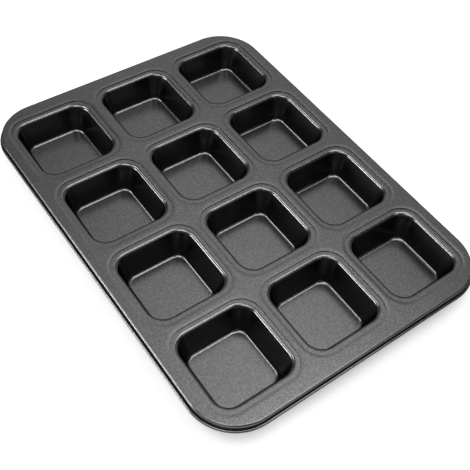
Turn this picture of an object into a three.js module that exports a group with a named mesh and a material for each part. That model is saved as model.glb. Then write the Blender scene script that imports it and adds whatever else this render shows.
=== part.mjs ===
// Baking pan with twelve square cups pressed in one sheet of coated steel.
// The sheet runs from the cup floors over the flat top to a skirt, and its edge is curled round a wire.
// Millimetres and degrees, +Z up, +X along the row of four cups. The underside of the cup floors is at z = 0.

import * as THREE from "three";

// Cups: each is sunk from a shallow dish in the flat top by a small step. Sizes are taken on the upper face
const sheetThickness = 0.4;
const cupsAlong = 4;
const cupsAcross = 3;
const cupDepth = 24;
const stepWidth = 74.8;
const stepRun = 0.1;
const stepDepth = 0.7;
const dishRun = 2.2;
const dishDepth = 0.2;
const ledgeWidth = 2.5;
const lipRadius = 3;
const wallLean = 16;
const floorFillet = 2.6;
const stepCornerRadius = 16.5;
const cornerShrinkShare = 0.67;

// Flat top: its strips between the dishes, and from the outer dishes to the skirt, straight and at the corners
const webAlong = 2.55;
const webAcross = 1.6;
const marginAlong = 11;
const marginAcross = 7.8;
const cornerMargin = 5.4;

// Rim
const bendRadius = 1.5;
const skirtHeight = 7.2;
const wireDiameter = 0.9;
const wireGap = 0.25;
const curlEndAngle = 105;
const wireJointGap = 1;

// Facets
const cupCornerFacets = 5;
const rimCornerFacets = 8;
const lipFacets = 2;
const filletFacets = 2;
const bendFacets = 3;
const curlFacets = 8;
const wireFacets = 8;

const deckTop = cupDepth + sheetThickness;
const curlInner = wireDiameter / 2 + wireGap;
const curlOuter = curlInner + sheetThickness;
const dishWidth = stepWidth + 2 * dishRun;
const cupPitchAlong = dishWidth + webAlong;
const cupPitchAcross = dishWidth + webAcross;
const skirtLength = cupsAlong * cupPitchAlong - webAlong + 2 * marginAlong;
const skirtWidth = cupsAcross * cupPitchAcross - webAcross + 2 * marginAcross;
const skirtCornerRadius = cupCornerRadius(dishWidth / 2) +
  ((marginAlong + marginAcross) * Math.SQRT1_2 - cornerMargin) / (Math.SQRT2 - 1);

// Radius of a cup's corners where the cup has this half width
function cupCornerRadius(half) {
  return stepCornerRadius - (stepWidth / 2 - half) * cornerShrinkShare;
}

// Points of an arc in a section, from one angle to another, both ends included
function arcPoints(centre, radius, from, to, facets) {
  const points = [];
  for (let i = 0; i <= facets; i++) {
    const angle = THREE.MathUtils.degToRad(from + ((to - from) * i) / facets);
    points.push(new THREE.Vector2(centre.x + radius * Math.cos(angle), centre.y + radius * Math.sin(angle)));
  }
  return points;
}

// Section line moved to its left by a distance, with mitred bends. The sheet goes on beyond the first point
// along startAlong and beyond the last along endAlong; without endAlong the last point is a free edge
function shifted(section, distance, startAlong, endAlong) {
  return section.map((point, i) => {
    const before = i > 0 ? point.clone().sub(section[i - 1]).normalize() : startAlong;
    const after = i < section.length - 1 ? section[i + 1].clone().sub(point).normalize() : endAlong ?? before;
    const left = new THREE.Vector2(-before.y - after.y, before.x + after.x).normalize();
    const spread = left.dot(new THREE.Vector2(-after.y, after.x));
    return point.clone().addScaledVector(left, distance / spread);
  });
}

// Closed loop of points round a rectangle with rounded corners, counterclockwise seen from above
function roundedLoop(centre, halfLength, halfWidth, radius, height, facets) {
  const loop = [];
  for (let corner = 0; corner < 4; corner++) {
    const sideX = corner === 0 || corner === 3 ? 1 : -1;
    const sideY = corner < 2 ? 1 : -1;
    for (let i = 0; i <= facets; i++) {
      const angle = (corner + i / facets) * (Math.PI / 2);
      const x = centre.x + sideX * (halfLength - radius) + radius * Math.cos(angle);
      const y = centre.y + sideY * (halfWidth - radius) + radius * Math.sin(angle);
      loop.push(new THREE.Vector3(x, y, height));
    }
  }
  return loop;
}

// Cup section from the flat top inwards to the flat floor: x is the half width of the cup, y the height
function cupSection() {
  const ledgeHeight = deckTop - dishDepth - stepDepth;
  const ledgeOuter = stepWidth / 2 - stepRun;
  const lipCentre = new THREE.Vector2(ledgeOuter - ledgeWidth, ledgeHeight - lipRadius);
  const lip = arcPoints(lipCentre, lipRadius, 90, 180 - wallLean, lipFacets);
  const wallTop = lip[lip.length - 1];
  const filletHeight = sheetThickness + floorFillet;
  const lean = THREE.MathUtils.degToRad(wallLean);
  const wallFoot = filletHeight - floorFillet * Math.sin(lean);
  const footReach = wallTop.x - (wallTop.y - wallFoot) * Math.tan(lean);
  const filletCentre = new THREE.Vector2(footReach - floorFillet * Math.cos(lean), filletHeight);
  const fillet = arcPoints(filletCentre, floorFillet, -wallLean, -90, filletFacets);
  return [
    new THREE.Vector2(dishWidth / 2, deckTop),
    new THREE.Vector2(stepWidth / 2, deckTop - dishDepth),
    new THREE.Vector2(ledgeOuter, ledgeHeight),
    ...lip,
    ...fillet,
  ];
}

// Rim section from the flat top outwards: bend, skirt and the curl that goes out and up round the wire.
// x is the reach beyond the outer face of the skirt
function rimSection() {
  const bend = arcPoints(new THREE.Vector2(-bendRadius, deckTop - bendRadius), bendRadius, 90, 0, bendFacets);
  const curl = arcPoints(wireCentre(), curlInner, 180, 360 + curlEndAngle, curlFacets);
  return [...bend, ...curl];
}

function wireCentre() {
  return new THREE.Vector2(curlInner, deckTop - skirtHeight + curlOuter);
}

// Both faces of the sheet are built from the same loops, so that every loop is shared by its neighbours
function panSheet() {
  const points = [];
  const triangles = [];
  const level = new THREE.Vector2(1, 0);
  const addLoop = (loop) => loop.map((point) => points.push(point) - 1);

  const addBand = (first, second, flip) => {
    first.forEach((a, i) => {
      const next = (i + 1) % first.length;
      const quad = [a, first[next], second[next], second[i]];
      triangles.push(flip ? [quad[0], quad[1], quad[2]] : [quad[0], quad[2], quad[1]]);
      triangles.push(flip ? [quad[0], quad[2], quad[3]] : [quad[0], quad[3], quad[2]]);
    });
  };

  const addFlat = (outer, holes, flip) => {
    const flatten = (loop) => loop.map((index) => new THREE.Vector2(points[index].x, points[index].y));
    const faces = THREE.ShapeUtils.triangulateShape(flatten(outer), holes.map(flatten));
    const all = [...outer, ...holes.flat()];
    const plan = flatten(all);
    for (const [a, b, c] of faces) {
      const upward = THREE.ShapeUtils.area([plan[a], plan[b], plan[c]]) > 0 !== flip;
      triangles.push(upward ? [all[a], all[b], all[c]] : [all[a], all[c], all[b]]);
    }
  };

  // One face of the sheet, raised by a distance from its upper face. The cup section runs inwards and the rim
  // section outwards, so what is left of one is right of the other
  const addFace = (distance, under) => {
    const cup = shifted(cupSection(), -distance, level.clone().negate(), level.clone().negate());
    const rim = shifted(rimSection(), distance, level);
    const holes = [];
    for (let i = 0; i < cupsAlong; i++) {
      for (let j = 0; j < cupsAcross; j++) {
        const centre = new THREE.Vector2(
          (i - (cupsAlong - 1) / 2) * cupPitchAlong,
          (j - (cupsAcross - 1) / 2) * cupPitchAcross,
        );
        const loops = cup.map(({ x: half, y: height }) =>
          addLoop(roundedLoop(centre, half, half, cupCornerRadius(half), height, cupCornerFacets)),
        );
        loops.slice(1).forEach((loop, n) => addBand(loops[n], loop, !under));
        addFlat(loops[loops.length - 1], [], under);
        holes.push(loops[0]);
      }
    }
    const rimLoops = rim.map(({ x: reach, y: height }) => {
      const halfLength = skirtLength / 2 + reach;
      const halfWidth = skirtWidth / 2 + reach;
      const radius = skirtCornerRadius + reach;
      const middle = new THREE.Vector2();
      return addLoop(roundedLoop(middle, halfLength, halfWidth, radius, height, rimCornerFacets));
    });
    rimLoops.slice(1).forEach((loop, n) => addBand(rimLoops[n], loop, under));
    addFlat(rimLoops[0], holes, under);
    return rimLoops[rimLoops.length - 1];
  };

  const upperEdge = addFace(0, false);
  const lowerEdge = addFace(-sheetThickness, true);
  addBand(upperEdge, lowerEdge, false);

  const geometry = new THREE.BufferGeometry().setFromPoints(points);
  geometry.setIndex(triangles.flat());
  geometry.computeVertexNormals();
  return geometry;
}

// Path that runs straight from station to station. Equal steps along it fall on its stations
class StationPath extends THREE.Curve {
  constructor(stations) {
    super();
    this.stations = stations;
  }

  getPoint(t) {
    const place = THREE.MathUtils.clamp(t, 0, 1) * (this.stations.length - 1);
    const before = Math.min(Math.floor(place), this.stations.length - 2);
    return this.stations[before].clone().lerp(this.stations[before + 1], place - before);
  }

  getPointAt(u) {
    return this.getPoint(u);
  }

  getTangentAt(u) {
    return this.getTangent(u);
  }
}

// Wire in the curl, bent round the four corners, its two ends nearly meeting in the middle of a long side
function rimWire() {
  const centre = wireCentre();
  const halfLength = skirtLength / 2 + centre.x;
  const halfWidth = skirtWidth / 2 + centre.x;
  const radius = skirtCornerRadius + centre.x;
  const bends = roundedLoop(new THREE.Vector2(), halfLength, halfWidth, radius, centre.y, rimCornerFacets);
  const cornerPoints = rimCornerFacets + 1;
  const firstEnd = new THREE.Vector3(-wireJointGap / 2, halfWidth, centre.y);
  const lastEnd = new THREE.Vector3(wireJointGap / 2, halfWidth, centre.y);
  const stations = [firstEnd, ...bends.slice(cornerPoints), ...bends.slice(0, cornerPoints), lastEnd];
  const section = new THREE.Shape();
  for (let i = 0; i < wireFacets; i++) {
    const angle = (i / wireFacets) * 2 * Math.PI;
    const point = [(wireDiameter / 2) * Math.cos(angle), (wireDiameter / 2) * Math.sin(angle)];
    if (i === 0) section.moveTo(...point);
    else section.lineTo(...point);
  }
  return new THREE.ExtrudeGeometry(section, {
    extrudePath: new StationPath(stations),
    steps: stations.length - 1,
    bevelEnabled: false,
  });
}

function named(name, geometry, material) {
  const mesh = new THREE.Mesh(geometry, new THREE.MeshStandardMaterial(material));
  mesh.name = name;
  return mesh;
}

const pan = new THREE.Group();
pan.name = "square_cup_pan";
pan.add(named("pan_sheet", panSheet(), { color: 0x5b5c5e, roughness: 0.42, metalness: 0.65 }));
pan.add(named("rim_wire", rimWire(), { color: 0xb9bbbd, roughness: 0.35, metalness: 0.9 }));

export default pan;
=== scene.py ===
import math

import bpy
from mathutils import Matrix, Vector
from mathutils.geometry import tessellate_polygon


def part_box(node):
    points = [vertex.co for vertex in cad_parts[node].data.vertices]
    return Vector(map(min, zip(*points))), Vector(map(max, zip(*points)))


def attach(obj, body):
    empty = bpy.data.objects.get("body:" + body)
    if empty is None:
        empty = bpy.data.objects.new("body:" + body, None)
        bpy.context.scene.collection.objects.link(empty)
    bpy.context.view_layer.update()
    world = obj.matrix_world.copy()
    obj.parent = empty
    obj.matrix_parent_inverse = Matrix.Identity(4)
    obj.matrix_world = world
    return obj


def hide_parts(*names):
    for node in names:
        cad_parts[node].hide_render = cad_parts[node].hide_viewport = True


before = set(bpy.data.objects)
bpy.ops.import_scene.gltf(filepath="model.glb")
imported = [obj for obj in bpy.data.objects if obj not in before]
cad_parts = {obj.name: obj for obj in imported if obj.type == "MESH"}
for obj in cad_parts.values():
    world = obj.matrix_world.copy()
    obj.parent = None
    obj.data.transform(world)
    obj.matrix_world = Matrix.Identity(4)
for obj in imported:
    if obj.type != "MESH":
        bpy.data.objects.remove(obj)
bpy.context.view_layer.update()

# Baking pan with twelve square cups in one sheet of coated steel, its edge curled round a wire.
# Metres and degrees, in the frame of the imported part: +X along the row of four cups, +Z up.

_, sheet_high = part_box("pan_sheet")
wire_low, wire_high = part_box("rim_wire")

# Cups: sizes are taken on the upper face of the sheet
SHEET_THICKNESS = 0.0004
CUPS_ALONG = 4
CUPS_ACROSS = 3
STEP_WIDTH = 0.0748
STEP_RUN = 0.0001
STEP_DEPTH = 0.0007
STEP_ROUND = 0.00003
DISH_RUN = 0.0022
DISH_DEPTH = 0.0002
DISH_ROUND = 0.009
LEDGE_WIDTH = 0.0025
LIP_RADIUS = 0.003
WALL_LEAN = 16
FLOOR_FILLET = 0.0026
STEP_CORNER_RADIUS = 0.0165
CORNER_SHRINK_SHARE = 0.67

# Flat top: strips between the dishes of the cups, and at the corners from a dish to the skirt
WEB_ALONG = 0.00255
WEB_ACROSS = 0.0016
CORNER_MARGIN = 0.0054

# Rim
BEND_RADIUS = 0.0015
WIRE_GAP = 0.00025
WIRE_JOINT_GAP = 0.001
CURL_END_ANGLE = 105

# Facets: each turns a section line by SECTION_TURN at most. No bend is tighter than TIGHTEST_BEND, and edges
# that turn by more than SHARP_EDGE stay sharp
SECTION_TURN = 9
FEWEST_TURN_FACETS = 2
CUP_CORNER_FACETS = 14
RIM_CORNER_FACETS = 24
WIRE_FACETS = 16
TIGHTEST_BEND = 0.00003
SHARP_EDGE = 50

# Camera, fitted to the edges of the cups and the rim in the photograph
CAMERA_PLACE = (0.3165837, -0.2637737, 0.4978755)
CAMERA_TURN = (37.78829, -4.29573, 54.35581)
CAMERA_LENS = 59.3388
CAMERA_SENSOR = 36

# The middle part of a noise, which its values hardly ever leave
NOISE_LOW_SHARE = 0.3
NOISE_HIGH_SHARE = 0.7

# Coating: colours are linear, scales are grains per metre. COATING_EDGE tints what it mirrors at a slant
COATING_DARK = (0.117, 0.117, 0.118, 1)
COATING_LIGHT = (0.179, 0.179, 0.182, 1)
COATING_EDGE = (0.26, 0.26, 0.26, 1)
COATING_ROUGH = 0.23
ROUGH_SPREAD = 0.02
GRAIN_SCALE = 750
GRAIN_DETAIL = 2
GRAIN_HEIGHT = 0.00002
GRAIN_BUMP_SHARE = 0.05
CLOUD_SCALE = 40
CLOUD_DETAIL = 3

# Surface of the wire
WIRE_DARK = (0.42, 0.42, 0.43, 1)
WIRE_LIGHT = (0.62, 0.62, 0.63, 1)
WIRE_SMOOTH = 0.25
WIRE_ROUGH = 0.42
WIRE_MARK_SCALE = 900
WIRE_MARK_DETAIL = 2

# Studio: bearings are counted from +X to +Y, heights from the horizon. The backdrop's shares say how far a
# direction faces its bearing, or straight up, where it starts and where it is full. A glow fades as the same
# measure to the power of its fall
STRAIGHT_UP = 90
FLOOR_HALF = 15
FLOOR_DROP = 0.0003
FLOOR_COLOUR = (0.8, 0.8, 0.8, 1)
FLOOR_GLOW = 0.4
ROOM_LIGHT = 0.13
CEILING_GLOWS = {
    "high": {"bearing": 128, "height": 63.5, "fall": 30, "light": 1.3},
    "low": {"bearing": 147, "height": 47, "fall": 40, "light": 0.49},
}
BACKDROP_LIGHT = 0.31
BACKDROP_BEARING = 132
BACKDROP_SIDE_SHARES = (0.35, 0.8)
BACKDROP_TOP_SHARES = (0.76, 0.56)
SOFTBOX_DISTANCE = 2
SOFTBOXES = {
    "overhead": {"bearing": 66, "height": 72, "width": 0.9, "length": 0.9, "brightness": 4},
    "key": {"bearing": 231, "height": 53, "width": 1.1, "length": 0.55, "brightness": 5.6},
    "window": {"bearing": 248, "height": 7, "width": 0.9, "length": 0.55, "brightness": 14.8},
    "curtain": {"bearing": 230, "height": 7, "width": 0.55, "length": 0.55, "brightness": 2.6},
    "front": {"bearing": 300, "height": 66, "width": 1.1, "length": 0.9, "brightness": 4.4},
    "fill": {"bearing": 25, "height": 45, "width": 0.5, "length": 0.5, "brightness": 2.2},
}

deck_top = sheet_high.z
pitch_along = STEP_WIDTH + 2 * DISH_RUN + WEB_ALONG
pitch_across = STEP_WIDTH + 2 * DISH_RUN + WEB_ACROSS
wire_radius = (wire_high.z - wire_low.z) / 2
wire_height = (wire_high.z + wire_low.z) / 2
curl_inner = wire_radius + WIRE_GAP
skirt_half_length = wire_high.x - wire_radius - curl_inner
skirt_half_width = wire_high.y - wire_radius - curl_inner
margin_along = skirt_half_length - (CUPS_ALONG * pitch_along - WEB_ALONG) / 2
margin_across = skirt_half_width - (CUPS_ACROSS * pitch_across - WEB_ACROSS) / 2


def cup_corner_radius(half):
    return STEP_CORNER_RADIUS - (STEP_WIDTH / 2 - half) * CORNER_SHRINK_SHARE


skirt_corner_radius = cup_corner_radius(STEP_WIDTH / 2 + DISH_RUN) + (
    (margin_along + margin_across) / math.sqrt(2) - CORNER_MARGIN) / (math.sqrt(2) - 1)


# Section lines run with the upper face of the sheet on their left

def arc(centre, radius, start, turn):
    steps = max(FEWEST_TURN_FACETS, math.ceil(abs(turn) / SECTION_TURN))
    points = []
    for i in range(steps + 1):
        angle = math.radians(start + turn * i / steps)
        points.append(centre + Vector((math.cos(angle), math.sin(angle))) * radius)
    return points


def rounded(corners, depth):
    """Section line at a depth below the upper face. Corners are places with the radius of their bend."""
    points = []
    for (before, _), (corner, radius), (after, _) in zip(corners, corners[1:], corners[2:]):
        come = (corner - before).normalized()
        leave = (after - corner).normalized()
        turn = math.atan2(come.x * leave.y - come.y * leave.x, come.dot(leave))
        side = math.copysign(1, turn)
        left = Vector((-come.y, come.x)) * side
        mitre = (Vector((come.y, -come.x)) + Vector((leave.y, -leave.x))) / (1 + come.dot(leave))
        bend = max(radius + side * depth, TIGHTEST_BEND)
        centre = corner + mitre * depth - come * bend * math.tan(abs(turn) / 2) + left * bend
        points += arc(centre, bend, math.degrees(math.atan2(-left.y, -left.x)), math.degrees(turn))
    return points


def cup_section(depth):
    """From the floor up the wall to the flat top: x is the half width of the cup, y the height."""
    step_half = STEP_WIDTH / 2
    ledge_outer = step_half - STEP_RUN
    ledge_height = deck_top - DISH_DEPTH - STEP_DEPTH
    lip = ledge_outer - LEDGE_WIDTH - LIP_RADIUS * math.tan(math.radians(90 - WALL_LEAN) / 2)
    foot = lip - (ledge_height - SHEET_THICKNESS) * math.tan(math.radians(WALL_LEAN))
    dish_half = step_half + DISH_RUN
    return rounded([
        (Vector((0, SHEET_THICKNESS)), 0),
        (Vector((foot, SHEET_THICKNESS)), FLOOR_FILLET),
        (Vector((lip, ledge_height)), LIP_RADIUS),
        (Vector((ledge_outer, ledge_height)), STEP_ROUND),
        (Vector((step_half, deck_top - DISH_DEPTH)), STEP_ROUND),
        (Vector((dish_half, deck_top)), DISH_ROUND),
        (Vector((dish_half + WEB_ACROSS, deck_top)), 0),
    ], depth)


def rim_section(depth):
    """From the flat top over the bend and the skirt into the curl: x is the reach beyond the skirt."""
    bend = rounded([
        (Vector((-BEND_RADIUS, deck_top)), 0),
        (Vector((0, deck_top)), BEND_RADIUS),
        (Vector((0, wire_height)), 0),
    ], depth)
    return bend + arc(Vector((curl_inner, wire_height)), curl_inner + depth, 180, 180 + CURL_END_ANGLE)


def rounded_loop(centre, half_length, half_width, radius, height, facets):
    """Points round a rectangle with rounded corners, counterclockwise seen from above."""
    points = []
    for corner in range(4):
        side_x = 1 if corner in (0, 3) else -1
        side_y = 1 if corner < 2 else -1
        for i in range(facets + 1):
            angle = (corner + i / facets) * math.pi / 2
            x = centre.x + side_x * (half_length - radius) + radius * math.cos(angle)
            y = centre.y + side_y * (half_width - radius) + radius * math.sin(angle)
            points.append(Vector((x, y, height)))
    return points


class Solid:
    """Points and faces of a closed mesh, built from loops."""

    def __init__(self):
        self.points = []
        self.faces = []

    def loop(self, points):
        first = len(self.points)
        self.points += points
        return list(range(first, len(self.points)))

    def face(self, corners, up):
        self.faces.append(corners if up else corners[::-1])

    def band(self, inner, outer, up):
        for i in range(len(inner)):
            j = (i + 1) % len(inner)
            self.face([inner[i], outer[i], outer[j], inner[j]], up)

    def flat(self, outer, holes, up):
        rings = [outer, *holes]
        order = [n for ring in rings for n in ring]
        for corners in tessellate_polygon([[self.points[n] for n in ring] for ring in rings]):
            a, b, c = [order[n] for n in corners]
            turn = (self.points[b] - self.points[a]).cross(self.points[c] - self.points[a]).z
            self.face([a, b, c] if turn > 0 else [a, c, b], up)


def sheet_face(solid, depth, up):
    """One face of the sheet, at a depth below its upper face. Gives back its free edge."""
    holes = []
    for i in range(CUPS_ALONG):
        for j in range(CUPS_ACROSS):
            x = (i - (CUPS_ALONG - 1) / 2) * pitch_along
            y = (j - (CUPS_ACROSS - 1) / 2) * pitch_across
            centre = Vector((x, y))
            loops = []
            for half, height in cup_section(depth):
                radius = cup_corner_radius(half)
                loops.append(solid.loop(rounded_loop(centre, half, half, radius, height, CUP_CORNER_FACETS)))
            for inner, outer in zip(loops, loops[1:]):
                solid.band(inner, outer, up)
            solid.face(loops[0], up)
            holes.append(loops[-1])
    rim = []
    for reach, height in rim_section(depth):
        rim.append(solid.loop(rounded_loop(
            Vector((0, 0)), skirt_half_length + reach, skirt_half_width + reach,
            skirt_corner_radius + reach, height, RIM_CORNER_FACETS)))
    for inner, outer in zip(rim, rim[1:]):
        solid.band(inner, outer, up)
    solid.flat(rim[0], holes, up)
    return rim[-1]


def pan_sheet():
    solid = Solid()
    upper_edge = sheet_face(solid, 0, True)
    lower_edge = sheet_face(solid, SHEET_THICKNESS, False)
    solid.band(upper_edge, lower_edge, True)
    return solid


def rim_wire():
    """Wire round the rim, its two ends nearly meeting in the middle of a long side."""
    solid = Solid()
    half_length = skirt_half_length + curl_inner
    half_width = skirt_half_width + curl_inner
    radius = skirt_corner_radius + curl_inner
    bends = rounded_loop(Vector((0, 0)), half_length, half_width, radius, wire_height, RIM_CORNER_FACETS)
    corner_points = RIM_CORNER_FACETS + 1
    first_end = Vector((-WIRE_JOINT_GAP / 2, half_width, wire_height))
    last_end = Vector((WIRE_JOINT_GAP / 2, half_width, wire_height))
    stations = [first_end, *bends[corner_points:], *bends[:corner_points], last_end]
    rings = []
    for i, station in enumerate(stations):
        before = stations[max(i - 1, 0)]
        after = stations[min(i + 1, len(stations) - 1)]
        along = ((station - before).normalized() + (after - station).normalized()).normalized()
        out = Vector((along.y, -along.x, 0))
        ring = []
        for k in range(WIRE_FACETS):
            angle = k / WIRE_FACETS * 2 * math.pi
            rise = Vector((0, 0, wire_radius * math.sin(angle)))
            ring.append(station + out * wire_radius * math.cos(angle) + rise)
        rings.append(solid.loop(ring))
    for ring, following in zip(rings, rings[1:]):
        solid.band(ring, following, True)
    solid.face(rings[0], False)
    solid.face(rings[-1], True)
    return solid


def add_to_scene(name, data):
    item = bpy.data.objects.new(name, data)
    bpy.context.scene.collection.objects.link(item)
    return item


def make_piece(name, solid, node, material):
    mesh = bpy.data.meshes.new(name)
    mesh.from_pydata(solid.points, [], solid.faces)
    mesh.shade_smooth()
    mesh.set_sharp_from_angle(angle=math.radians(SHARP_EDGE))
    mesh.materials.append(material)
    piece = add_to_scene(name, mesh)
    piece.modifiers.new("even_faces", "WEIGHTED_NORMAL").keep_sharp = True
    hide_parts(node)
    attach(piece, "root")


# Materials

def new_material(name):
    material = bpy.data.materials.new(name)
    material.use_nodes = True
    return material, material.node_tree.nodes, material.node_tree.links


def noise(nodes, links, scale, detail):
    place = nodes.new("ShaderNodeTexCoord")
    texture = nodes.new("ShaderNodeTexNoise")
    texture.inputs["Scale"].default_value = scale
    texture.inputs["Detail"].default_value = detail
    links.new(place.outputs["Object"], texture.inputs["Vector"])
    return texture.outputs["Fac"]


def spread(nodes, links, source, low, high):
    """The middle part of a noise, spread over a range of values."""
    mapping = nodes.new("ShaderNodeMapRange")
    mapping.inputs["From Min"].default_value = NOISE_LOW_SHARE
    mapping.inputs["From Max"].default_value = NOISE_HIGH_SHARE
    mapping.inputs["To Min"].default_value = low
    mapping.inputs["To Max"].default_value = high
    links.new(source, mapping.inputs["Value"])
    return mapping.outputs["Result"]


def shade_by(nodes, links, source, dark, light):
    """Colour that goes from dark to light with a noise."""
    shade = nodes.new("ShaderNodeMix")
    shade.data_type = "RGBA"
    shade.inputs["A"].default_value = dark
    shade.inputs["B"].default_value = light
    links.new(spread(nodes, links, source, 0, 1), shade.inputs["Factor"])
    return shade.outputs["Result"]


def coated_steel():
    """Dark non-stick coating with a fine grain, and patches that are a little smoother or rougher."""
    material, nodes, links = new_material("coated_steel")
    shader = nodes["Principled BSDF"]
    grain = noise(nodes, links, GRAIN_SCALE, GRAIN_DETAIL)
    clouds = noise(nodes, links, CLOUD_SCALE, CLOUD_DETAIL)
    rough = spread(nodes, links, clouds, COATING_ROUGH - ROUGH_SPREAD, COATING_ROUGH + ROUGH_SPREAD)
    links.new(shade_by(nodes, links, grain, COATING_DARK, COATING_LIGHT), shader.inputs["Base Color"])
    links.new(rough, shader.inputs["Roughness"])
    shader.inputs["Specular Tint"].default_value = COATING_EDGE
    shader.inputs["Metallic"].default_value = 1
    bump = nodes.new("ShaderNodeBump")
    bump.inputs["Strength"].default_value = GRAIN_BUMP_SHARE
    bump.inputs["Distance"].default_value = GRAIN_HEIGHT
    links.new(grain, bump.inputs["Height"])
    links.new(bump.outputs["Normal"], shader.inputs["Normal"])
    return material


def wire_steel():
    """Drawn wire, with fine marks along it."""
    material, nodes, links = new_material("wire_steel")
    shader = nodes["Principled BSDF"]
    marks = noise(nodes, links, WIRE_MARK_SCALE, WIRE_MARK_DETAIL)
    links.new(shade_by(nodes, links, marks, WIRE_DARK, WIRE_LIGHT), shader.inputs["Base Color"])
    links.new(spread(nodes, links, marks, WIRE_SMOOTH, WIRE_ROUGH), shader.inputs["Roughness"])
    shader.inputs["Metallic"].default_value = 1
    return material


# Studio

def pointer(bearing, height):
    """Direction from the pan towards a bearing and height."""
    flat = math.cos(math.radians(height))
    return Vector((
        flat * math.cos(math.radians(bearing)), flat * math.sin(math.radians(bearing)),
        math.sin(math.radians(height))))


def calculate(nodes, links, operation, first, second):
    step = nodes.new("ShaderNodeMath")
    step.operation = operation
    for value, socket in zip((first, second), step.inputs):
        if isinstance(value, bpy.types.NodeSocket):
            links.new(value, socket)
        else:
            socket.default_value = value
    return step.outputs["Value"]


def facing(nodes, links, direction, bearing, height):
    """How far the world's direction looks towards a bearing and height, from -1 to 1."""
    product = nodes.new("ShaderNodeVectorMath")
    product.operation = "DOT_PRODUCT"
    product.inputs[1].default_value = pointer(bearing, height)
    links.new(direction, product.inputs[0])
    return product.outputs["Value"]


def fade(nodes, links, source, ends):
    """From 0 to 1, softly, while the source goes from one end to the other."""
    mapping = nodes.new("ShaderNodeMapRange")
    mapping.interpolation_type = "SMOOTHSTEP"
    mapping.inputs["From Min"].default_value, mapping.inputs["From Max"].default_value = ends
    links.new(source, mapping.inputs["Value"])
    return mapping.outputs["Result"]


def ceiling_glow(nodes, links, direction, bearing, height, fall, light):
    """Soft patch of light that fades as a power of the turn away from its middle."""
    ahead = calculate(nodes, links, "MAXIMUM", facing(nodes, links, direction, bearing, height), 0)
    return calculate(nodes, links, "MULTIPLY", calculate(nodes, links, "POWER", ahead, fall), light)


def backdrop(nodes, links, direction):
    side = fade(nodes, links, facing(nodes, links, direction, BACKDROP_BEARING, 0), BACKDROP_SIDE_SHARES)
    top = fade(nodes, links, facing(nodes, links, direction, 0, STRAIGHT_UP), BACKDROP_TOP_SHARES)
    cover = calculate(nodes, links, "MULTIPLY", side, top)
    return calculate(nodes, links, "MULTIPLY", cover, BACKDROP_LIGHT)


def studio_world():
    """A dim room, with soft glows on the ceiling and a pale backdrop low behind the pan."""
    world = bpy.data.worlds.new("studio")
    bpy.context.scene.world = world
    world.use_nodes = True
    nodes, links = world.node_tree.nodes, world.node_tree.links
    direction = nodes.new("ShaderNodeTexCoord").outputs["Generated"]
    light = calculate(nodes, links, "ADD", backdrop(nodes, links, direction), ROOM_LIGHT)
    for setting in CEILING_GLOWS.values():
        light = calculate(nodes, links, "ADD", light, ceiling_glow(nodes, links, direction, **setting))
    nodes["Background"].inputs["Color"].default_value = (1, 1, 1, 1)
    links.new(light, nodes["Background"].inputs["Strength"])


def floor_paint():
    """Pale floor, with a glow that the camera sees and metal and glass mirror."""
    material, nodes, links = new_material("floor")
    shader = nodes["Principled BSDF"]
    shader.inputs["Base Color"].default_value = FLOOR_COLOUR
    shader.inputs["Roughness"].default_value = 1
    shader.inputs["Specular IOR Level"].default_value = 0
    path = nodes.new("ShaderNodeLightPath")
    seen = path.outputs["Is Camera Ray"]
    for ray in ("Is Glossy Ray", "Is Transmission Ray"):
        seen = calculate(nodes, links, "MAXIMUM", seen, path.outputs[ray])
    shader.inputs["Emission Color"].default_value = (1, 1, 1, 1)
    glow = calculate(nodes, links, "MULTIPLY", seen, FLOOR_GLOW)
    links.new(glow, shader.inputs["Emission Strength"])
    return material


def studio_floor():
    mesh = bpy.data.meshes.new("floor")
    corners = [(x * FLOOR_HALF, y * FLOOR_HALF, -FLOOR_DROP) for x, y in ((-1, -1), (1, -1), (1, 1), (-1, 1))]
    mesh.from_pydata(corners, [], [(0, 1, 2, 3)])
    mesh.materials.append(floor_paint())
    floor = add_to_scene("floor", mesh)


def softbox(name, bearing, height, width, length, brightness):
    """Lamp that faces the pan from afar. Its brightness is that of its lit face."""
    lamp = bpy.data.lights.new(name, "AREA")
    lamp.shape = "RECTANGLE"
    lamp.size = width
    lamp.size_y = length
    lamp.energy = brightness * math.pi * width * length
    item = add_to_scene(name, lamp)
    direction = pointer(bearing, height)
    item.location = direction * SOFTBOX_DISTANCE
    item.rotation_euler = direction.to_track_quat("Z", "Y").to_euler()
    item.visible_camera = False


def photograph_camera():
    camera = bpy.data.cameras.new("camera")
    camera.lens = CAMERA_LENS
    camera.sensor_width = CAMERA_SENSOR
    item = add_to_scene("camera", camera)
    item.location = CAMERA_PLACE
    item.rotation_euler = [math.radians(turn) for turn in CAMERA_TURN]
    bpy.context.scene.camera = item


photograph_camera()
studio_world()
studio_floor()
for softbox_name, setting in SOFTBOXES.items():
    softbox(softbox_name, **setting)
make_piece("coated_sheet", pan_sheet(), "pan_sheet", coated_steel())
make_piece("steel_wire", rim_wire(), "rim_wire", wire_steel())

bpy.context.scene.view_settings.view_transform = "Standard"
